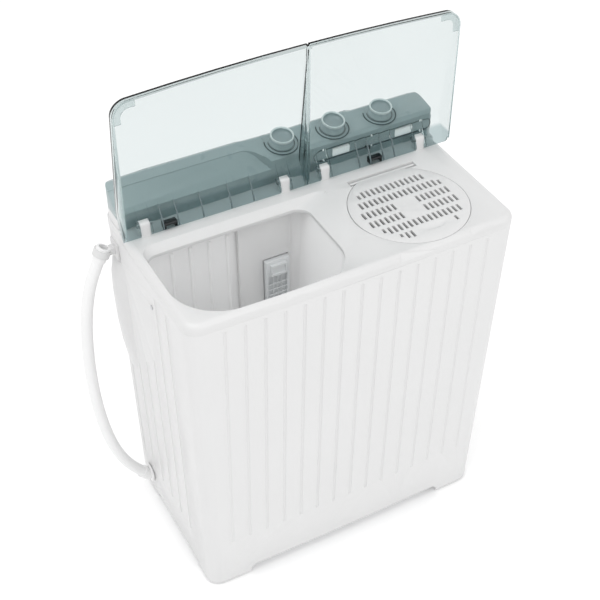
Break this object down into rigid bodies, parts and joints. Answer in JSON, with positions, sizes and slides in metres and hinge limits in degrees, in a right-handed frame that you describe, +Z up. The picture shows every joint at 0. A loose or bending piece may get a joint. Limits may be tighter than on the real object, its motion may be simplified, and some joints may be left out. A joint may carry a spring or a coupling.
{
  "type": "portable twin-tub washing machine",
  "caption": "White portable twin-tub washer: fluted casing, wash tub, spin dryer with slotted inner lid, see-through lids standing open, tinted knob console and side drain hose.",
  "frame": {"origin": "centre of the footprint on the floor", "axes": "+X to the operator's right, +Y to the rear, +Z up"},
  "size_m": [0.6971, 0.337, 0.948],
  "materials": {
    "body_white": "fine satin moulded white",
    "deck_white": "smooth moulded white",
    "tub_white": "smooth moulded light grey-white",
    "clear_lid": "clear pale green-blue moulded plastic",
    "panel_teal": "tinted translucent grey-green",
    "knob_teal": "tinted grey-green",
    "ring_dark": "dark index ring",
    "grey_plastic": "moulded grey",
    "black_plastic": "moulded black",
    "filter_blue": "moulded off-white net frame",
    "pulsator_blue": "moulded pale grey",
    "hose_white": "flexible off-white hose",
    "rubber": "black rubber",
    "steel": "bright steel",
    "steel_plate": "zinc plated sheet",
    "aluminium": "die cast",
    "brass": "turned brass",
    "cast_iron": "machined",
    "motor_paint": "dark enamel"
  },
  "bodies": {
    "cabinet": {"base_tray": "grey_plastic", "casing_screws": "steel", "console_housing": "deck_white", "control_panel": "panel_teal", "cord_gland": "black_plastic", "dial_rings": "ring_dark", "drain_hose": "hose_white", "drain_outlet": "hose_white", "drain_pipe": "grey_plastic", "drain_selector": "black_plastic", "drain_valve_body": "tub_white", "drive_belt": "rubber", "filter_channel_cover": "tub_white", "foot_pads": "rubber", "hose_clip": "deck_white", "hose_end_fitting": "hose_white", "lid_switch": "black_plastic", "outer_casing": "body_white", "rear_cover": "body_white", "spin_bellows_seal": "rubber", "spin_motor": "motor_paint", "spin_motor_mounts": "rubber", "spin_motor_plate": "steel_plate", "spin_outer_tub": "tub_white", "spin_timer": "black_plastic", "top_deck": "deck_white", "wash_bearing_housing": "aluminium", "wash_motor": "motor_paint", "wash_motor_bracket": "steel_plate", "wash_shaft_bushes": "brass", "wash_shaft_seal": "rubber", "wash_timer": "black_plastic", "wash_tub": "tub_white", "wiring_harness": "black_plastic"},
    "wash_lid": {"wash_lid": "clear_lid", "wash_lid_stop": "black_plastic", "wash_lid_pins": "steel"},
    "spin_lid": {"spin_lid": "clear_lid", "spin_lid_cam": "black_plastic", "spin_lid_pins": "steel"},
    "grille_lid": {"spin_grille_lid": "deck_white"},
    "wash_timer_dial": {"wash_timer_knob": "knob_teal", "wash_timer_spindle": "brass"},
    "selector_dial": {"drain_selector_knob": "knob_teal", "drain_selector_spindle": "brass"},
    "spin_timer_dial": {"spin_timer_knob": "knob_teal", "spin_timer_spindle": "brass"},
    "agitator": {"pulsator": "pulsator_blue", "pulsator_screw": "steel", "wash_shaft": "steel", "wash_pulley": "black_plastic"},
    "wash_rotor": {"wash_motor_pulley": "aluminium", "wash_motor_shaft": "steel"},
    "spinner": {"spin_basket": "steel", "spin_shaft": "steel", "brake_drum": "cast_iron"},
    "brake_arm": {"brake_lever": "steel_plate"},
    "valve_plunger": {"drain_valve_plunger": "rubber"},
    "filter": {"lint_filter": "filter_blue"},
    "switch_button": {"lid_switch_plunger": "black_plastic"}
  },
  "joints": [
    {"name": "wash_lid_hinge", "type": "hinge", "parent": "cabinet", "child": "wash_lid", "pos_m": [-0.139, 0.08, 0.69], "axis": [-1, 0, 0], "range_deg": [-90, 0]},
    {"name": "spin_lid_hinge", "type": "hinge", "parent": "cabinet", "child": "spin_lid", "pos_m": [0.1605, 0.08, 0.69], "axis": [-1, 0, 0], "range_deg": [-90, 0]},
    {"name": "grille_lid_hinge", "type": "hinge", "parent": "cabinet", "child": "grille_lid", "pos_m": [0.1605, 0.042, 0.6655], "axis": [-1, 0, 0], "range_deg": [0, 70]},
    {"name": "wash_timer_turn", "type": "hinge", "parent": "cabinet", "child": "wash_timer_dial", "pos_m": [0.012, 0.132, 0.72662], "axis": [0, -0.1843, 0.9829], "range_deg": [-300, 0]},
    {"name": "drain_selector_turn", "type": "hinge", "parent": "cabinet", "child": "selector_dial", "pos_m": [0.111, 0.132, 0.72662], "axis": [0, -0.1843, 0.9829], "range_deg": [-90, 0]},
    {"name": "spin_timer_turn", "type": "hinge", "parent": "cabinet", "child": "spin_timer_dial", "pos_m": [0.206, 0.132, 0.72662], "axis": [0, -0.1843, 0.9829], "range_deg": [-300, 0]},
    {"name": "pulsator_spin", "type": "hinge", "parent": "cabinet", "child": "agitator", "pos_m": [-0.14, -0.042, 0.132], "axis": [0, 0, 1], "continuous": true},
    {"name": "wash_motor_spin", "type": "hinge", "parent": "cabinet", "child": "wash_rotor", "pos_m": [0.018, -0.042, 0.132], "axis": [0, 0, 1], "continuous": true},
    {"name": "spin_basket_spin", "type": "hinge", "parent": "cabinet", "child": "spinner", "pos_m": [0.155, -0.0545, 0.2], "axis": [0, 0, 1], "continuous": true},
    {"name": "brake_release", "type": "hinge", "parent": "cabinet", "child": "brake_arm", "pos_m": [0.115, -0.0105, 0.172], "axis": [0, 0, 1], "range_deg": [-6, 0]},
    {"name": "drain_valve_lift", "type": "slide", "parent": "cabinet", "child": "valve_plunger", "axis": [0, 0, 1], "range_m": [0, 0.012]},
    {"name": "lint_filter_tilt", "type": "hinge", "parent": "cabinet", "child": "filter", "pos_m": [-0.0405, 0.0465, 0.404], "axis": [1, 0, 0], "range_deg": [0, 24]},
    {"name": "lid_switch_press", "type": "slide", "parent": "cabinet", "child": "switch_button", "axis": [0, 1, 0], "range_m": [0, 0.002]}
  ],
  "couplings": [
    {"joint": "wash_motor_spin", "follows": "pulsator_spin", "ratio": 3.6455},
    {"joint": "brake_release", "follows": "spin_lid_hinge", "ratio": 0.066667},
    {"joint": "lid_switch_press", "follows": "spin_lid_hinge", "m_per_rad": -0.0012732},
    {"joint": "drain_selector_turn", "follows": "drain_valve_lift", "rad_per_m": -130.9}
  ]
}
